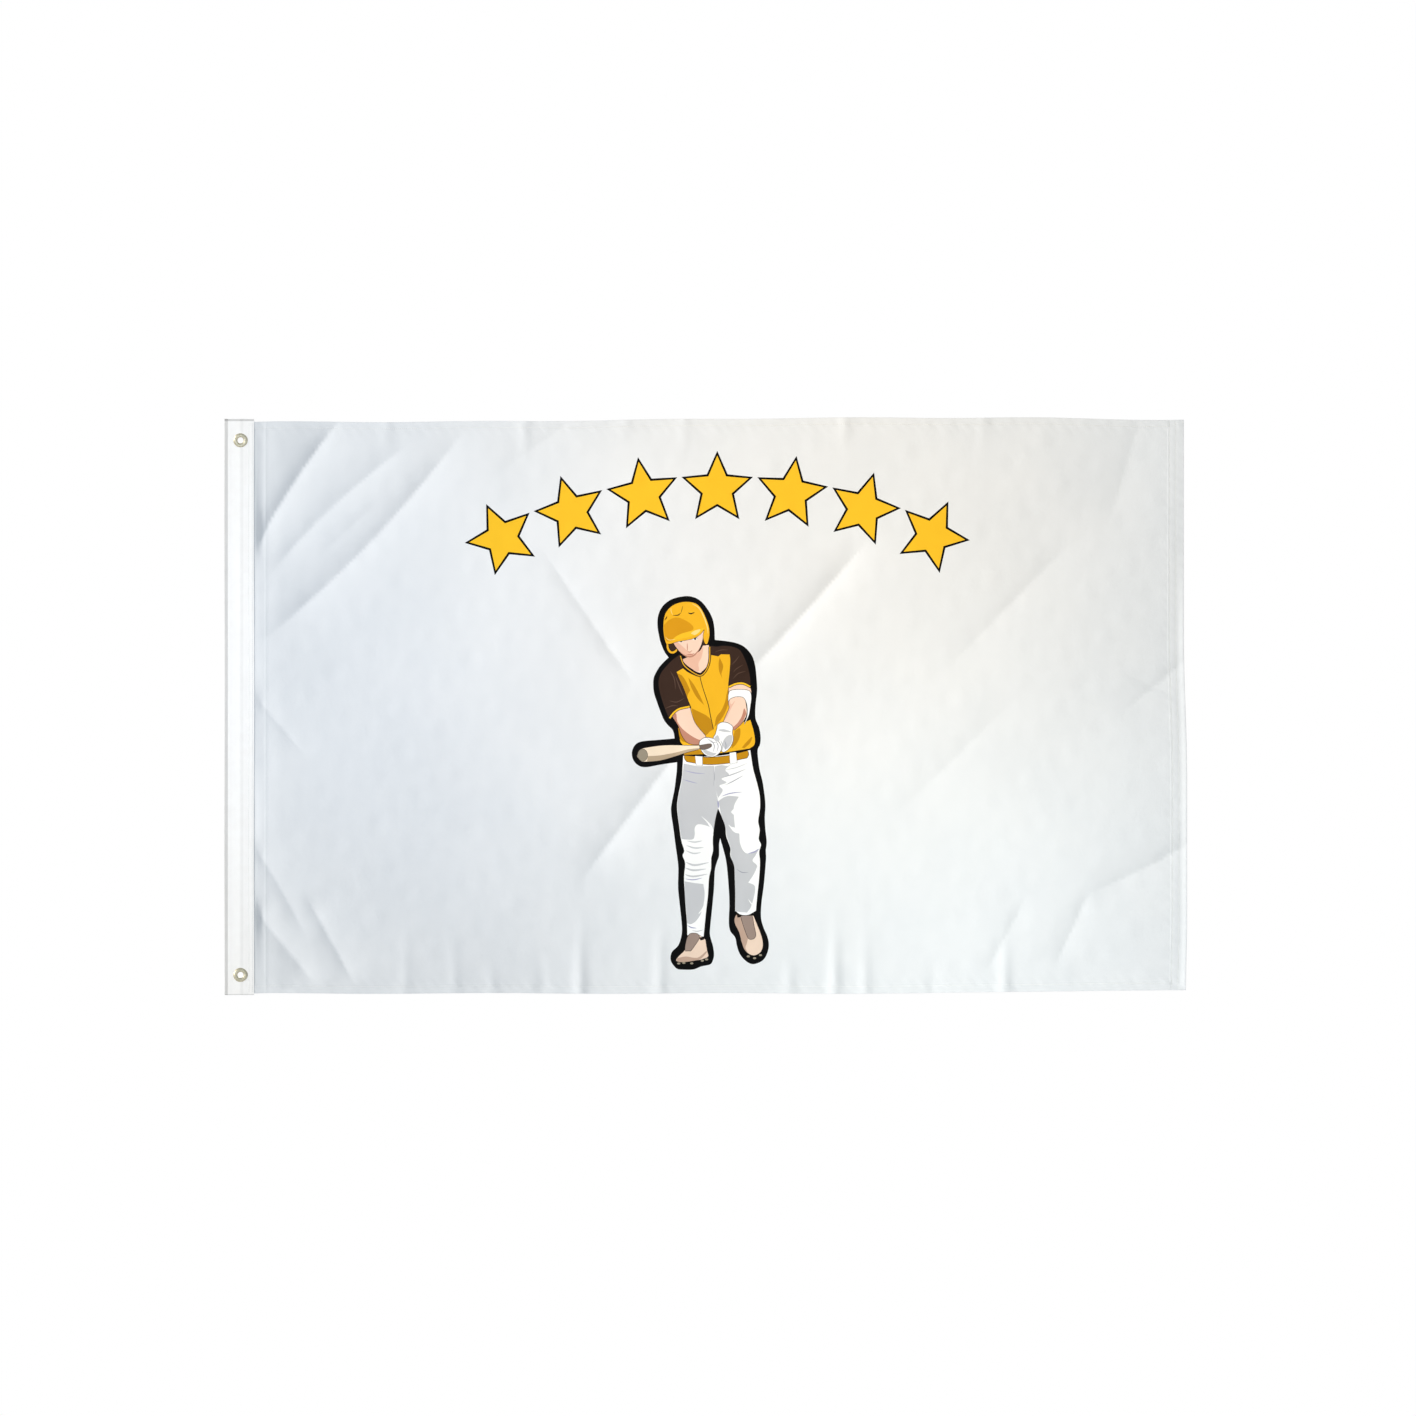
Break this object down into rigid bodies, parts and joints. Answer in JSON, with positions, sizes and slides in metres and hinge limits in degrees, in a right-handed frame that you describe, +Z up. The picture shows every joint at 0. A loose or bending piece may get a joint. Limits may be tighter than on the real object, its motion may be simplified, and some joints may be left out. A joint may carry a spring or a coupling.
{
  "type": "rectangular printed flag",
  "caption": "Rectangular cloth flag with a printed front, folded header tape and brass grommets; the fly swings and curls about upright hinges.",
  "frame": {"origin": "centre of the upper grommet's hole, halfway through the header's thickness", "axes": "+X from the header towards the fly end, +Z up along the header, the printed front faces -Y"},
  "size_m": [1.524, 0.0056, 0.914],
  "materials": {
    "header_canvas": "matt white woven tape",
    "fly_polyester": "satin white polyester cloth, printed in yellow, brown, black, tan and greys",
    "grommet_brass": "pale, slightly worn brass",
    "stitching": "white polyester sewing thread"
  },
  "bodies": {
    "header": {"header_tape": "header_canvas", "fly_margin": "fly_polyester", "upper_grommet_eyelet": "grommet_brass", "upper_grommet_washer": "grommet_brass", "lower_grommet_eyelet": "grommet_brass", "lower_grommet_washer": "grommet_brass", "header_inner_row_needle_thread": "stitching", "header_inner_row_bobbin_thread": "stitching", "header_outer_row_needle_thread": "stitching", "header_outer_row_bobbin_thread": "stitching"},
    "fly_hoist": {"fly_hoist_panel": "fly_polyester", "top_hem_needle_thread_hoist": "stitching", "top_hem_bobbin_thread_hoist": "stitching", "bottom_hem_needle_thread_hoist": "stitching", "bottom_hem_bobbin_thread_hoist": "stitching"},
    "fly_middle": {"fly_middle_panel": "fly_polyester", "top_hem_needle_thread_middle": "stitching", "top_hem_bobbin_thread_middle": "stitching", "bottom_hem_needle_thread_middle": "stitching", "bottom_hem_bobbin_thread_middle": "stitching"},
    "fly_end": {"fly_end_panel": "fly_polyester", "top_hem_needle_thread_end": "stitching", "top_hem_bobbin_thread_end": "stitching", "bottom_hem_needle_thread_end": "stitching", "bottom_hem_bobbin_thread_end": "stitching", "fly_end_inner_row_needle_thread": "stitching", "fly_end_inner_row_bobbin_thread": "stitching", "fly_end_outer_row_needle_thread": "stitching", "fly_end_outer_row_bobbin_thread": "stitching"}
  },
  "joints": [
    {"name": "hoist_swing", "type": "hinge", "parent": "header", "child": "fly_hoist", "pos_m": [0.023, 0, -0.425], "axis": [0, 0, 1], "range_deg": [-90, 90]},
    {"name": "middle_bend", "type": "hinge", "parent": "fly_hoist", "child": "fly_middle", "pos_m": [0.51533, 0, -0.425], "axis": [0, 0, 1], "range_deg": [-90, 90]},
    {"name": "end_bend", "type": "hinge", "parent": "fly_middle", "child": "fly_end", "pos_m": [1.00767, 0, -0.425], "axis": [0, 0, 1], "range_deg": [-90, 90]}
  ]
}
